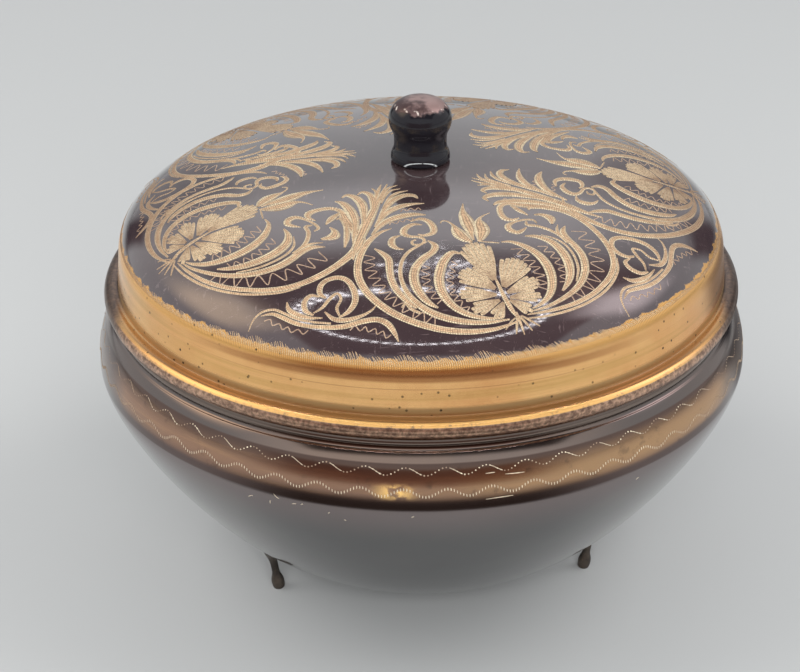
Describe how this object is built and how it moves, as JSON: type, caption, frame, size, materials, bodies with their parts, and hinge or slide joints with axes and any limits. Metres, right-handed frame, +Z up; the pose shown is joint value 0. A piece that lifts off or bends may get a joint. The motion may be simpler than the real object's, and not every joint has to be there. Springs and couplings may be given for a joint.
{
  "type": "lidded bowl",
  "caption": "Low round spun brass bowl on cast feet with a flattened dome lid that lifts off, a turned knob, a rolled rim and an engraved, lacquered surface.",
  "frame": {"origin": "on the table, under the centre of the bowl", "axes": "+Z up along the bowl's axis; -Y is the front that the picture shows; +X is to its right"},
  "size_m": [0.185, 0.185, 0.1404],
  "materials": {
    "bowl_lacquer": "dark brown lacquer worn to copper on the shoulder, satin",
    "lid_lacquer": "dark purple-brown lacquer, glossy, cut through to bright metal; the wall is bare and bright",
    "knob_lacquer": "black lacquer, glossy, worn brown on top",
    "cast_brass": "dark cast metal, dull",
    "bare_brass": "bare, satin",
    "screw_brass": "bare, tarnished"
  },
  "bodies": {
    "bowl": {"bowl_shell": "bowl_lacquer", "mouth_collar": "bare_brass", "front_left_foot": "cast_brass", "front_right_foot": "cast_brass", "rear_foot": "cast_brass"},
    "lid": {"lid_shell": "lid_lacquer", "knob": "knob_lacquer", "knob_screw": "screw_brass", "knob_washer": "bare_brass"}
  },
  "joints": [
    {"name": "lid_lift", "type": "slide", "parent": "bowl", "child": "lid", "axis": [0, 0, 1], "range_m": [0, 0.12]}
  ]
}
